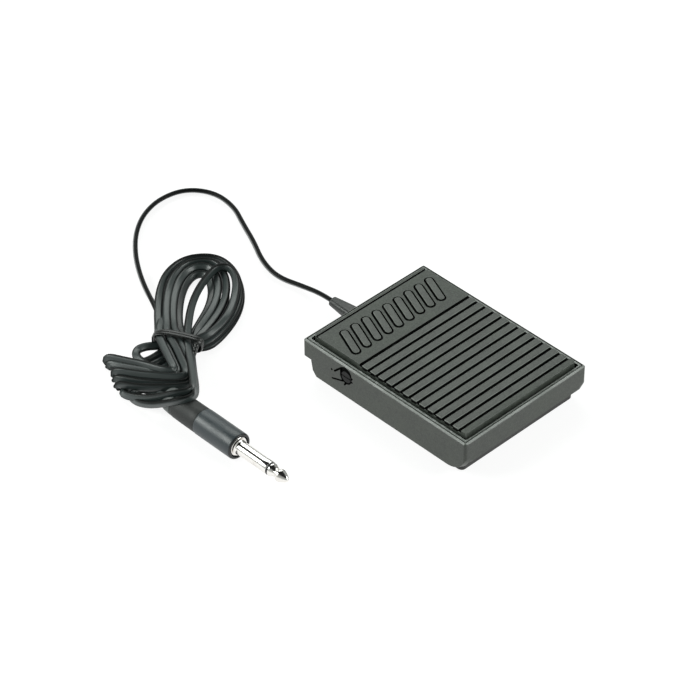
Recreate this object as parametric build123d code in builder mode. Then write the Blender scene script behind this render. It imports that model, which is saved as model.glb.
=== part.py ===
from build123d import *
import math
import os

# A flat sustain pedal for a keyboard: a hinged treadle lid over a shallow tray, a ribbed mat on top,
# a spring and a leaf contact inside, and a thin lead that ends in a quarter-inch plug.
# Millimetres. +Z is up, -Y is the player's end, +Y is the end that the lead leaves by.
# The origin is on the floor, under the middle of the pedal.

# ---- driving dimensions -------------------------------------------------------------------------
lid_width = 74.0
lid_length = 98.0
lid_edge_z = 18.9          # the outer edge of the rim, where the walls end
rim_bevel = 0.8            # the rim stands this much higher, behind a bevel
rim_z = lid_edge_z + rim_bevel
lid_wall = 1.8
lid_plate_z = 16.9         # the underside of the lid's top plate
pocket_z = 18.2            # the floor of the shallow pocket that the mat sits in
pocket_side = 2.4
pocket_front = 2.1
pocket_rear = 2.4
rim_groove_in = 0.95       # a fine groove runs round the rim, this far inside its outer faces
rim_groove_width = 0.55
rim_groove_depth = 0.5
lid_corner = 1.3           # the upright corners, seen from above
skirt_side_z = 2.7         # how low the side walls reach
skirt_front_z = 8.3
skirt_rear_z = 10.6
skirt_front_round = 5.6    # the lower front corner inside the front wall's width
skirt_corner_round = 11.0  # the same corner at the outer faces
corner_start_x = 32.0
rear_notch = 4.9           # the side walls step in by this much at the back

mat_top_z = 21.8
mat_gap = 1.1
mat_edge_round = 0.55
groove_count = 13
groove_pitch = 4.92
first_groove_y = 17.0
groove_width = 1.5
groove_depth = 1.3
grip_count = 9             # the raised bars on the flat band behind the grooves
grip_pitch = 6.5
grip_length = 16.0
grip_width = 3.0
grip_height = 0.5
hollow_border = 0.9
hollow_depth = 0.9
grip_tilt = -22.0
grip_y = 31.0

tray_side = 2.6            # how far the tray stands inside the lid's outer faces
tray_front = 4.3
tray_rear = 3.4
tray_wall = 1.8
tray_floor_z = 2.8
tray_top_z = 11.6
sole_z = 0.8
sole_inset = 0.9

hinge_y = 22.5
hinge_z = 13.4
pin_r = 2.0
pin_fit = 0.05             # radial clearance in the lid
pin_head_r = 2.8
hinge_recess_r = 3.5
hinge_recess = 0.9
recess_rise = 1.8          # the recess reaches this much further above the pin's head than below it
slit_width = 0.9
slit_depth = 1.1
spring_slits = [(27.2, 15.2, 45.0, 7.2), (27.6, 9.3, 19.0, 7.6), (21.0, 11.8, 51.0, 8.4)]
slit_holes = [(31.2, 12.9), (18.8, 12.7)]
ear_r = 3.1

spring_y = -22.0
spring_r = 4.6             # to the middle of the wire
spring_wire = 1.1
spring_turns = 5.5
guide_r = 3.4

ballast_y = -20.0
ballast_screw_places = [(x, y) for x in (-20, 20) for y in (-28, -12)]

plug_x = -94.6
plug_z = 6.3
barrel_r = 6.2
boot_rear_y = 66.0
cap_rear_y = 73.0          # a short softer cap ends the boot where the lead enters it
boot_front_y = 50.4
barrel_front_y = 28.4
plug_tip_y = -2.4
sleeve_r = 3.175

cord_d = 3.0               # the flat lead is 3.9 by 2.3, and this round one has nearly its section
cord_exit = (1.0, 70.0, 6.6)

tray_x = lid_width / 2 - tray_side
tray_front_y = -lid_length / 2 + tray_front
tray_rear_y = lid_length / 2 - tray_rear
mat_x = lid_width / 2 - pocket_side - mat_gap
mat_front_y = -lid_length / 2 + pocket_front + mat_gap
mat_rear_y = lid_length / 2 - pocket_rear - mat_gap

os.makedirs("parts", exist_ok=True)
made = []


def keep(part, name):
    """Label one finished piece, write it and note its volume."""
    part.label = name
    export_step(part, f"parts/{name}.step")
    made.append((name, part.volume, len(part.solids())))


def span(low, high):
    return (low + high) / 2


# ---- treadle lid --------------------------------------------------------------------------------
def lower_corner(radius):
    """What a round of this radius takes off the lid's lower front corner, seen from the side."""
    front_y = -lid_length / 2
    with BuildSketch() as waste:
        with BuildLine():
            Polyline((front_y - 1, 0), (front_y - 1, skirt_side_z + radius), (front_y, skirt_side_z + radius))
            RadiusArc((front_y, skirt_side_z + radius), (front_y + radius, skirt_side_z), -radius)
            Polyline((front_y + radius, skirt_side_z), (front_y + radius, 0), (front_y - 1, 0))
        make_face()
    return waste.sketch


def treadle_lid():
    half_w = lid_width / 2
    half_l = lid_length / 2
    front_waste = lower_corner(skirt_front_round)
    corner_waste = lower_corner(skirt_corner_round)
    with BuildPart() as lid:
        with BuildSketch(Plane.XY.offset(skirt_side_z)):
            RectangleRounded(lid_width, lid_length, lid_corner)
        extrude(amount=rim_z - skirt_side_z)
        chamfer(lid.faces().sort_by(Axis.Z)[-1].edges(), rim_bevel)
        # the hollow under the top plate
        with BuildSketch(Plane.XY.offset(skirt_side_z)):
            RectangleRounded(lid_width - 2 * lid_wall, lid_length - 2 * lid_wall, 0.6)
        extrude(amount=lid_plate_z - skirt_side_z, mode=Mode.SUBTRACT)
        # the pocket for the mat
        with BuildSketch(Plane.XY.offset(pocket_z)):
            with Locations((0, span(-half_l + pocket_front, half_l - pocket_rear))):
                RectangleRounded(lid_width - 2 * pocket_side, lid_length - pocket_front - pocket_rear, 0.8)
        extrude(amount=5, mode=Mode.SUBTRACT)
        with BuildSketch(Plane.XY.offset(rim_z - rim_groove_depth)):
            RectangleRounded(lid_width - 2 * rim_groove_in, lid_length - 2 * rim_groove_in, 0.9)
            inner_in = rim_groove_in + rim_groove_width
            RectangleRounded(lid_width - 2 * inner_in, lid_length - 2 * inner_in, 0.5, mode=Mode.SUBTRACT)
        extrude(amount=2, mode=Mode.SUBTRACT)
        # the walls' lower edge: a short front wall, a shorter rear wall, rounded ends on the sides
        with BuildSketch(Plane.YZ.offset(-half_w - 1)):
            add(front_waste)
        extrude(amount=lid_width + 2, mode=Mode.SUBTRACT)
        notch_y = half_l - rear_notch
        with BuildSketch(Plane.YZ.offset(-half_w - 1)):
            with BuildLine():
                Polyline((half_l + 1, 0), (half_l + 1, skirt_rear_z), (notch_y, skirt_rear_z))
                Line((notch_y, skirt_rear_z), (notch_y - 1.0, skirt_side_z + 2.6))
                Line((notch_y - 1.0, skirt_side_z + 2.6), (notch_y - 3.2, skirt_side_z))
                Polyline((notch_y - 3.2, skirt_side_z), (notch_y - 3.2, 0), (half_l + 1, 0))
            make_face()
        extrude(amount=lid_width + 2, mode=Mode.SUBTRACT)
        with Locations((0, -half_l + lid_wall / 2, span(0, skirt_front_z))):
            Box(lid_width - 2 * lid_wall - 1, lid_wall + 1, skirt_front_z, mode=Mode.SUBTRACT)
        # towards each side the same round grows, so that the lid's lower front corners are full and soft
        for side in (-1, 1):
            with BuildSketch(Plane.YZ.offset(side * corner_start_x)):
                add(front_waste)
            with BuildSketch(Plane.YZ.offset(side * (half_w + 0.3))):
                add(corner_waste)
            loft(mode=Mode.SUBTRACT)
        # hinge holes and the recesses round the pins' heads
        with Locations(Plane((0, hinge_y, hinge_z), x_dir=(0, 1, 0), z_dir=(1, 0, 0))):
            Cylinder(pin_r + pin_fit, lid_width + 2, mode=Mode.SUBTRACT)
        for side in (-1, 1):
            middle_x = side * (half_w - hinge_recess / 2 + 0.5)
            with BuildSketch(Plane((middle_x - 1, hinge_y, hinge_z), x_dir=(0, 1, 0), z_dir=(1, 0, 0))):
                with Locations((0, recess_rise / 2)):
                    SlotOverall(2 * hinge_recess_r + recess_rise, 2 * hinge_recess_r, rotation=90)
            extrude(amount=2, mode=Mode.SUBTRACT)
            # slits beside the recess let the wall spring out over the pin, and two small holes stop them
            for slit_y, slit_z, slit_turn, slit_length in spring_slits:
                with BuildSketch(Plane((side * (half_w + 0.5), 0, 0), x_dir=(0, 1, 0), z_dir=(1, 0, 0))):
                    with Locations((slit_y, slit_z)):
                        SlotOverall(slit_length, slit_width, rotation=-slit_turn)
                extrude(amount=-side * (slit_depth + 0.5), mode=Mode.SUBTRACT)
            for hole_y, hole_z in slit_holes:
                with Locations(Plane((side * half_w, hole_y, hole_z), x_dir=(0, 1, 0), z_dir=(1, 0, 0))):
                    Cylinder(0.55, 2 * slit_depth, mode=Mode.SUBTRACT)
        # a post that carries the contact bridge, a guide for the spring, and two stiffening ribs
        with Locations((0, -8, span(11.3, lid_plate_z))):
            Box(16, 4, lid_plate_z - 11.3)
        with Locations((0, spring_y, lid_plate_z - 0.9)):
            Cylinder(guide_r, 1.8)
        for side in (-1, 1):
            with Locations((side * 17, -15, lid_plate_z - 0.6)):
                Box(1.4, 50, 1.2)
    keep(lid.part, "treadle_lid")


# ---- ribbed mat ---------------------------------------------------------------------------------
def tread_mat():
    length = mat_rear_y - mat_front_y
    with BuildPart() as mat:
        with BuildSketch(Plane.XY.offset(pocket_z)):
            with Locations((0, span(mat_front_y, mat_rear_y))):
                RectangleRounded(2 * mat_x, length, 1.0)
        extrude(amount=mat_top_z - pocket_z)
        fillet(mat.faces().sort_by(Axis.Z)[-1].edges(), mat_edge_round)
        # the cross grooves run out through both long edges
        for index in range(groove_count):
            with Locations((0, first_groove_y - index * groove_pitch, mat_top_z - groove_depth / 2 + 0.5)):
                Box(2 * mat_x + 2, groove_width, groove_depth + 1, mode=Mode.SUBTRACT)
        # a row of slanted grip bars on the flat band, each one in its own hollow
        with BuildSketch(Plane.XY.offset(mat_top_z - hollow_depth)):
            with Locations((0, grip_y)):
                with GridLocations(grip_pitch, 0, grip_count, 1):
                    SlotOverall(grip_length + 2 * hollow_border, grip_width + 2 * hollow_border,
                                rotation=90 + grip_tilt)
        extrude(amount=hollow_depth + 1, mode=Mode.SUBTRACT)
        with BuildSketch(Plane.XY.offset(mat_top_z - hollow_depth - 0.1)):
            with Locations((0, grip_y)):
                with GridLocations(grip_pitch, 0, grip_count, 1):
                    SlotOverall(grip_length, grip_width, rotation=90 + grip_tilt)
        extrude(amount=grip_height + hollow_depth + 0.1)
    keep(mat.part, "tread_mat")


# ---- tray, sole and what is fixed in them -------------------------------------------------------
def base_tray():
    length = tray_rear_y - tray_front_y
    middle_y = span(tray_front_y, tray_rear_y)
    with BuildPart() as tray:
        with BuildSketch(Plane.XY.offset(sole_z)):
            with Locations((0, middle_y)):
                RectangleRounded(2 * tray_x, length, 2.2)
        extrude(amount=tray_top_z - sole_z)
        with BuildSketch(Plane.XY.offset(tray_floor_z)):
            with Locations((0, middle_y)):
                RectangleRounded(2 * (tray_x - tray_wall), length - 2 * tray_wall, 1.2)
        extrude(amount=tray_top_z, mode=Mode.SUBTRACT)
        # hinge ears
        for side in (-1, 1):
            ear_x = side * (tray_x - 2.0)
            with Locations((ear_x, hinge_y, span(sole_z, hinge_z))):
                Box(4.0, 2 * ear_r, hinge_z - sole_z)
            with Locations(Plane((ear_x, hinge_y, hinge_z), x_dir=(0, 1, 0), z_dir=(1, 0, 0))):
                Cylinder(ear_r, 4.0)
            bore_x = side * (tray_x - 1.6)
            with Locations(Plane((bore_x, hinge_y, hinge_z), x_dir=(0, 1, 0), z_dir=(1, 0, 0))):
                Cylinder(pin_r, 3.2, mode=Mode.SUBTRACT)
        # posts under the two rear rests and the two front bumpers
        for side in (-1, 1):
            with Locations((side * 26, 39.5, span(2.0, 15.0))):
                Box(6, 6, 15.0 - 2.0)
            with Locations((side * 24, -37.5, span(2.0, 11.5))):
                Cylinder(4.2, 11.5 - 2.0)
            with Locations((side * 6.5, 37.0, span(2.0, 8.4))):
                Cylinder(2.6, 8.4 - 2.0)
        with Locations((0, spring_y, span(2.0, 4.8))):
            Cylinder(guide_r, 4.8 - 2.0)
        # the slot in the rear wall that the strain relief passes through
        with Locations((cord_exit[0], tray_rear_y, cord_exit[2])):
            Box(7.0, 8.0, 5.2, mode=Mode.SUBTRACT)
        # clearance holes for the four ballast screws, from below
        with Locations(*[(x, y, sole_z) for x, y in ballast_screw_places]):
            Cylinder(1.1, 4.2, mode=Mode.SUBTRACT)
            Cylinder(2.1, 2.0, mode=Mode.SUBTRACT)
        for side in (-1, 1):
            with Locations((side * 6.5, 37.0, span(4.4, 8.4))):
                Cylinder(0.8, 4.0, mode=Mode.SUBTRACT)
    keep(tray.part, "base_tray")


def sole_pad():
    length = tray_rear_y - tray_front_y - 2 * sole_inset
    with BuildPart() as sole:
        with BuildSketch(Plane.XY):
            with Locations((0, span(tray_front_y, tray_rear_y))):
                RectangleRounded(2 * (tray_x - sole_inset), length, 2.0)
            with Locations(*ballast_screw_places):
                Circle(2.6, mode=Mode.SUBTRACT)
        extrude(amount=sole_z)
    keep(sole.part, "sole_pad")


def hinge_pins():
    for name, side in (("hinge_pin_left", -1), ("hinge_pin_right", 1)):
        inner = side * (tray_x - 3.2)
        shoulder = side * (lid_width / 2 - hinge_recess + 0.1)
        outer = side * (lid_width / 2 - 0.2)
        with BuildPart() as pin:
            with Locations(Plane((span(inner, shoulder), hinge_y, hinge_z), x_dir=(0, 1, 0), z_dir=(1, 0, 0))):
                Cylinder(pin_r, abs(shoulder - inner))
            with Locations(Plane((span(shoulder, outer), hinge_y, hinge_z), x_dir=(0, 1, 0), z_dir=(1, 0, 0))):
                Cylinder(pin_head_r, abs(outer - shoulder))
            # a cross slot in the head
            with Locations((outer, hinge_y, hinge_z)):
                Box(0.6, 2 * pin_head_r, 0.7, mode=Mode.SUBTRACT)
        keep(pin.part, name)


def stops():
    for name, side in (("rest_pad_left", -1), ("rest_pad_right", 1)):
        with BuildPart() as rest:
            with Locations((side * 26, 39.5, span(15.0, lid_plate_z - 0.1))):
                Box(5, 5, lid_plate_z - 0.1 - 15.0)
            fillet(rest.edges().filter_by(Axis.Z), 0.8)
        keep(rest.part, name)
    for name, side in (("bumper_left", -1), ("bumper_right", 1)):
        with BuildPart() as bumper:
            with BuildSketch(Plane.XY.offset(11.5)):
                with Locations((side * 24, -37.5)):
                    Circle(3.6)
            extrude(amount=2.9, taper=8)
        keep(bumper.part, name)


def return_spring():
    low = tray_floor_z + spring_wire / 2
    high = lid_plate_z - spring_wire / 2 - 0.05
    pitch = (high - low) / spring_turns
    with BuildPart() as spring:
        with BuildLine():
            coil = Helix(pitch, high - low, spring_r, center=(0, spring_y, low))
        with BuildSketch(Plane(origin=coil @ 0, z_dir=coil % 0)):
            Circle(spring_wire / 2)
        sweep(is_frenet=True)
    keep(spring.part, "return_spring")


def ballast():
    with BuildPart() as plate:
        with BuildSketch(Plane.XY.offset(tray_floor_z)):
            with Locations((0, ballast_y)):
                RectangleRounded(46, 24, 2)
            with Locations((0, spring_y)):
                Circle(6.2, mode=Mode.SUBTRACT)
            with Locations(*ballast_screw_places):
                Circle(0.9, mode=Mode.SUBTRACT)
        extrude(amount=1.6)
    keep(plate.part, "ballast_plate")
    for number, (x, y) in enumerate(ballast_screw_places, start=1):
        with BuildPart() as screw:
            with Locations((x, y, 1.45)):
                Cylinder(1.9, 0.7)
            with Locations((x, y, span(1.5, 4.4))):
                Cylinder(0.9, 2.9)
            with Locations((x, y, 1.1)):
                Box(2.6, 0.5, 0.5, mode=Mode.SUBTRACT)
                Box(0.5, 2.6, 0.5, mode=Mode.SUBTRACT)
        keep(screw.part, f"ballast_screw_{number}")


# ---- contact ------------------------------------------------------------------------------------
def contact_set():
    with BuildPart() as block:
        with Locations((0, 3, span(tray_floor_z, 8.8))):
            Box(22, 12, 8.8 - tray_floor_z)
        fillet(block.edges().filter_by(Axis.Z), 1.0)
        with Locations(*[(side * 6.5, 5, 7.6) for side in (-1, 1)]):
            Cylinder(0.7, 2.4, mode=Mode.SUBTRACT)
    keep(block.part, "contact_block")
    for name, side in (("left", -1), ("right", 1)):
        with BuildPart() as leaf:
            with BuildSketch(Plane.XY.offset(8.8)):
                with Locations((side * 6.5, span(-11, 11))):
                    RectangleRounded(5, 22, 1.0)
                with Locations((side * 6.5, 5)):
                    Circle(0.75, mode=Mode.SUBTRACT)
            extrude(amount=0.4)
            with Locations((side * 6.5, -8, 9.3)):
                Cylinder(1.3, 0.24)
        keep(leaf.part, f"contact_leaf_{name}")
        with BuildPart() as screw:
            with Locations((side * 6.5, 5, 9.65)):
                Cylinder(1.5, 0.9)
            with Locations((side * 6.5, 5, span(6.4, 9.3))):
                Cylinder(0.7, 2.9)
            with Locations((side * 6.5, 5, 10.1)):
                Box(2.4, 0.4, 0.6, mode=Mode.SUBTRACT)
        keep(screw.part, f"contact_screw_{name}")
    with BuildPart() as bridge:
        with BuildSketch(Plane.XY.offset(10.7)):
            with Locations((0, -8)):
                RectangleRounded(18, 5, 0.8)
        extrude(amount=0.6)
    keep(bridge.part, "contact_bridge")


def cord_clamp():
    with BuildPart() as bar:
        with BuildSketch(Plane.XY.offset(8.6)):
            with Locations((0, 37)):
                SlotOverall(19, 5.2)
            with Locations((-6.5, 37), (6.5, 37)):
                Circle(0.9, mode=Mode.SUBTRACT)
        extrude(amount=1.4)
    keep(bar.part, "clamp_bar")
    for name, side in (("left", -1), ("right", 1)):
        with BuildPart() as screw:
            with Locations((side * 6.5, 37, 10.5)):
                Cylinder(1.7, 1.0)
            with Locations((side * 6.5, 37, span(4.6, 10.2))):
                Cylinder(0.8, 5.6)
            with Locations((side * 6.5, 37, 11.0)):
                Box(2.6, 0.4, 0.6, mode=Mode.SUBTRACT)
        keep(screw.part, f"clamp_screw_{name}")


def inner_wires():
    for name, side in (("left", -1), ("right", 1)):
        route = [
            (cord_exit[0] + side * 0.9, 32.8, cord_exit[2]),
            (cord_exit[0] + side * 1.4, 29.0, 5.6),
            (side * 5.0, 20.0, 5.8),
            (side * 6.5, 14.0, 9.4),
            (side * 6.5, 10.2, 9.9),
        ]
        with BuildPart() as wire:
            with BuildLine() as path:
                FilletPolyline(*route, radius=[1.8, 3.0, 2.2])
            with BuildSketch(Plane(origin=path.line @ 0, z_dir=path.line % 0)):
                Circle(0.6)
            sweep()
        keep(wire.part, f"inner_wire_{name}")


def strain_relief():
    x = cord_exit[0]
    z = cord_exit[2]
    with BuildPart() as relief:
        # outside: a flattened taper from the tray's wall to the lead
        with BuildSketch(Plane((x, tray_rear_y, z), x_dir=(1, 0, 0), z_dir=(0, 1, 0))):
            RectangleRounded(9.4, 6.6, 2.2)
        with BuildSketch(Plane((x, span(tray_rear_y, cord_exit[1]), z), x_dir=(1, 0, 0), z_dir=(0, 1, 0))):
            RectangleRounded(7.4, 5.6, 2.2)
        with BuildSketch(Plane((x, cord_exit[1], z), x_dir=(1, 0, 0), z_dir=(0, 1, 0))):
            RectangleRounded(4.9, 3.9, 1.9)
        loft()
        # the neck in the slot, the flange inside, and the jacket up to the clamp
        with Locations((x, tray_rear_y - tray_wall / 2, z)):
            Box(7.0, tray_wall, 5.2)
        with Locations((x, tray_rear_y - tray_wall - 0.9, z)):
            Box(9.4, 1.8, 6.6)
        with Locations(Plane((x, 37.8, z), x_dir=(1, 0, 0), z_dir=(0, 1, 0))):
            Cylinder(1.95, 9.6)
    keep(relief.part, "strain_relief")


# ---- lead, hank, tie ----------------------------------------------------------------------------
cord_route = [
    cord_exit,
    (3.0, 79.0, 4.4),
    (2.6, 91.0, 2.2),
    (-0.9, 104.0, 2.0),
    (2.2, 117.5, 2.0),
    (9.2, 130.6, 2.0),
    (14.6, 143.4, 2.0),
    (20.8, 156.6, 2.0),
    (21.6, 171.0, 2.0),
    (13.6, 182.4, 2.0),
    (0.2, 185.2, 2.0),
    (-13.0, 181.6, 2.0),
    (-25.0, 173.4, 2.0),
    (-35.2, 162.2, 2.0),
    (-43.6, 149.6, 2.0),
    (-50.6, 136.0, 2.2),
    (-55.6, 123.4, 3.0),
    (-60.0, 115.6, 4.2),
]


def corner_radii(route):
    """Each arc is as large as its two runs allow."""
    radii = []
    for before, here, after in zip(route, route[1:], route[2:]):
        one = Vector(*here) - Vector(*before)
        two = Vector(*after) - Vector(*here)
        half_turn = math.radians(one.get_angle(two)) / 2
        radii.append(0.45 * min(one.length, two.length) / math.tan(half_turn))
    return radii


def lead_tube(name, route, diameter):
    radii = corner_radii(route)
    print(name, "radii", [round(radius, 1) for radius in radii])
    with BuildPart() as tube:
        with BuildLine() as path:
            FilletPolyline(*route, radius=radii)
        with BuildSketch(Plane(origin=path.line @ 0, z_dir=path.line % 0)):
            Circle(diameter / 2)
        sweep()
    length = sum(edge.length for edge in path.line.edges())
    section = math.pi * diameter ** 2 / 4
    print(name, "length", round(length, 1), "volume over section times length",
          round(tube.part.volume / (section * length), 4))
    keep(tube.part, name)


tie_centre = (-66.0, 98.0)
tie_turn = 31.0            # the bundle's direction through the tie, from +X
waist_width = 20.5
waist_low_z = 1.1
waist_high_z = 9.6
over_boot_z = 12.5


def cord_hank():
    with BuildPart() as hank:
        # the long upper loops
        with BuildSketch(Plane.XY.offset(0.1)):
            with Locations((-39.5, 114.0)):
                Ellipse(30.5, 18.5, rotation=39.0)
        extrude(amount=11.5)
        # the shorter loops below the tie, which fan out to the left
        with BuildSketch(Plane.XY.offset(0.1)):
            with Locations((-85.6, 90.2)):
                Ellipse(20.5, 19.4, rotation=22.0)
        extrude(amount=14.0)
        # the waist, held together by the tie
        with BuildSketch(Plane.XY.offset(waist_low_z)):
            with Locations(tie_centre):
                Rectangle(24, waist_width, rotation=tie_turn)
        extrude(amount=waist_high_z - waist_low_z)
        # the lowest loops climb over the rear of the plug's boot
        with BuildSketch(Plane.XY.offset(over_boot_z)):
            with Locations((-90.0, 67.0)):
                Ellipse(11.0, 9.0, rotation=-35.0)
        extrude(amount=14.8 - over_boot_z)
        with Locations(Plane((plug_x, span(50, cap_rear_y + 0.2), plug_z), z_dir=(0, 1, 0))):
            Cylinder(over_boot_z - plug_z, cap_rear_y + 0.2 - 50, mode=Mode.SUBTRACT)
        # the gap inside the upper loops
        with BuildSketch(Plane.XY):
            with Locations((-39.5, 116.5)):
                SlotOverall(31, 9, rotation=41.0)
        extrude(amount=15, mode=Mode.SUBTRACT)
    keep(hank.part, "cord_hank")


def hank_tie():
    turn = math.radians(tie_turn)
    plane = Plane((*tie_centre, span(waist_low_z, waist_high_z)),
                  x_dir=(-math.sin(turn), math.cos(turn), 0), z_dir=(math.cos(turn), math.sin(turn), 0))
    height = waist_high_z - waist_low_z
    with BuildPart() as tie:
        with BuildSketch(plane.offset(-2.2)):
            RectangleRounded(waist_width + 2.0, height + 2.0, 1.5)
            Rectangle(waist_width, height, mode=Mode.SUBTRACT)
        extrude(amount=4.4)
    keep(tie.part, "hank_tie")


# ---- plug ---------------------------------------------------------------------------------------
def plug():
    def turned(profile):
        """Half a section, as distances along the plug's axis and radii, spun round the axis."""
        plane = Plane((plug_x, 0, plug_z), x_dir=(0, 1, 0), z_dir=(-1, 0, 0))
        with BuildPart() as piece:
            with BuildSketch(plane):
                with BuildLine():
                    Polyline(*profile, close=True)
                make_face()
            revolve(axis=Axis((plug_x, 0, plug_z), (0, 1, 0)))
        return piece.part

    boot = [(boot_front_y, 0), (boot_front_y, barrel_r - 0.15), (boot_rear_y - 0.8, barrel_r - 0.3),
            (boot_rear_y, barrel_r - 0.9), (boot_rear_y, 0)]
    keep(turned(boot), "plug_boot")
    cap = [(boot_rear_y, 0), (boot_rear_y, barrel_r - 0.9), (boot_rear_y + 0.5, barrel_r - 0.45),
           (cap_rear_y - 1.6, barrel_r - 0.8), (cap_rear_y - 0.5, barrel_r - 1.6), (cap_rear_y, barrel_r - 3.0),
           (cap_rear_y, 0)]
    keep(turned(cap), "plug_cap")
    barrel = [(barrel_front_y, 0), (barrel_front_y, barrel_r - 0.7), (barrel_front_y + 0.7, barrel_r),
              (boot_front_y, barrel_r), (boot_front_y, 0)]
    keep(turned(barrel), "plug_barrel")
    ring_y = 7.6
    sleeve = [(ring_y + 1.0, 0), (ring_y + 1.0, sleeve_r), (barrel_front_y - 1.2, sleeve_r),
              (barrel_front_y - 1.2, 5.2), (barrel_front_y, 5.2), (barrel_front_y, 0)]
    keep(turned(sleeve), "plug_sleeve")
    ring = [(ring_y, 0), (ring_y, sleeve_r - 0.3), (ring_y + 1.0, sleeve_r - 0.22), (ring_y + 1.0, 0)]
    keep(turned(ring), "plug_insulator")
    tip = [(plug_tip_y, 0), (plug_tip_y + 0.3, 0.9), (plug_tip_y + 4.4, 2.95), (plug_tip_y + 5.4, 2.7),
           (plug_tip_y + 6.6, 2.05), (plug_tip_y + 7.6, 2.25), (plug_tip_y + 8.6, 2.8), (ring_y, 3.0), (ring_y, 0)]
    keep(turned(tip), "plug_tip")


treadle_lid()
tread_mat()
base_tray()
sole_pad()
hinge_pins()
stops()
return_spring()
ballast()
contact_set()
cord_clamp()
inner_wires()
strain_relief()
lead_tube("cord_run", cord_route, cord_d)
cord_hank()
hank_tie()
lead_tube("cord_tail", [(plug_x, cap_rear_y, plug_z), (plug_x, 77.5, plug_z), (plug_x + 0.6, 84.0, 3.2)], cord_d)
plug()

for name, volume, solids in made:
    print(f"{name:20s} {volume:10.1f} mm3, {solids} solid")
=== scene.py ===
# %% [markdown]
# # A sustain pedal: the looks
#
# The pedal is a small switch for the foot. A moulded treadle lid rocks on a tray, a ribbed rubber
# mat covers the lid, and a thin flat lead leaves the rear, ends in a tied hank and a quarter-inch
# plug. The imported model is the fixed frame: each piece below is made in metres, in place, at the
# origin of its own object, and rides on one of the frame's bodies.

# %% Load the frame
import math

import bmesh
import bpy
from mathutils import Matrix, Vector


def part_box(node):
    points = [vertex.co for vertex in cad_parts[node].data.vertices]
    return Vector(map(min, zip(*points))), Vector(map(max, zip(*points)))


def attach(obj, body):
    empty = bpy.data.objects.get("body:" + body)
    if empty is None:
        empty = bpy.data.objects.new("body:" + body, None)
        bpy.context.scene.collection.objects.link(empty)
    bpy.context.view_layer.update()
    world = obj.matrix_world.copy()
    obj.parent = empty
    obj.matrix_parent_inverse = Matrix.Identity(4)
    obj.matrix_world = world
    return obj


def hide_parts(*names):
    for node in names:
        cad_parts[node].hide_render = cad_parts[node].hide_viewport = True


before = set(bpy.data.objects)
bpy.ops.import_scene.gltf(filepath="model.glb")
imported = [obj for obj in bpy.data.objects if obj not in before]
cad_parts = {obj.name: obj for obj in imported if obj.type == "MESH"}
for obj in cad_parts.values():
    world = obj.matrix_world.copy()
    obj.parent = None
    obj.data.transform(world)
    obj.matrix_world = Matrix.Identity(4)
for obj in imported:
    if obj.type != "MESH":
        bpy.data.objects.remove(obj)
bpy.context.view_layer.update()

scene = bpy.context.scene
mm = 0.001

# %% [markdown]
# ## Camera
#
# The pedal is seen from above its front left corner through a long lens, so its edges stay nearly
# parallel. A camera could be placed by hand and turned to track an empty, but here its place is
# worked out from two angles and a distance, because those are what a photographer would note down.

# %% Camera
view_turn, view_rise, view_roll = (math.radians(angle) for angle in (-44.03, 39.81, -0.30))
view_back = Vector((
    math.sin(view_turn) * math.cos(view_rise),
    -math.cos(view_turn) * math.cos(view_rise),
    math.sin(view_rise),
))
level_right = Vector((math.cos(view_turn), math.sin(view_turn), 0))
level_up = view_back.cross(level_right)
view_right = level_right * math.cos(view_roll) + level_up * math.sin(view_roll)
view_up = level_up * math.cos(view_roll) - level_right * math.sin(view_roll)

camera_data = bpy.data.cameras.new("studio_camera")
camera = bpy.data.objects.new("studio_camera", camera_data)
scene.collection.objects.link(camera)
camera_data.lens = 165.1
camera_data.sensor_width = 36
camera_data.clip_start = 0.05
camera_data.clip_end = 50
view_distance, aim_left, aim_up = 1.3927, 0.04043, 0.01578
camera_place = view_back * view_distance - view_right * aim_left + view_up * aim_up
camera_turn = Matrix((view_right, view_up, view_back)).transposed().to_4x4()
camera.matrix_world = Matrix.Translation(camera_place) @ camera_turn
scene.camera = camera
scene.view_settings.view_transform = "Standard"
print("camera at, mm", [round(value / mm) for value in camera_place])

# %% [markdown]
# ## Helpers for meshes and materials
#
# Every piece ends as one mesh object at the origin. These short helpers link a new mesh, shade it
# smooth with sharp edges kept sharp, and start a material whose nodes can then be joined by name.

# %% Mesh helpers
def link_mesh(name, verts, faces, smooth=True):
    mesh = bpy.data.meshes.new(name)
    mesh.from_pydata(verts, [], faces)
    mesh.validate()
    piece = bpy.data.objects.new(name, mesh)
    scene.collection.objects.link(piece)
    if smooth:
        mesh.shade_smooth()
    return piece


def ring_faces(rings, around):
    """Faces that skin rings of points, with a cap at each end."""
    faces = []
    for ring in range(rings - 1):
        for step in range(around):
            a, b = ring * around + step, ring * around + (step + 1) % around
            faces.append((a, b, b + around, a + around))
    last = (rings - 1) * around
    return faces + [tuple(range(around)), tuple(range(last, last + around))]


def point_outwards(piece):
    """Merge doubles and make every face point out."""
    work = bmesh.new()
    work.from_mesh(piece.data)
    bmesh.ops.remove_doubles(work, verts=work.verts, dist=1e-7)
    bmesh.ops.recalc_face_normals(work, faces=work.faces)
    work.to_mesh(piece.data)
    work.free()


def settle(piece):
    """Turn a piece with modifiers into a plain mesh."""
    evaluated = piece.evaluated_get(bpy.context.evaluated_depsgraph_get())
    mesh = bpy.data.meshes.new_from_object(evaluated)
    piece.modifiers.clear()
    piece.data = mesh
    mesh.name = piece.name
    return piece


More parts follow.
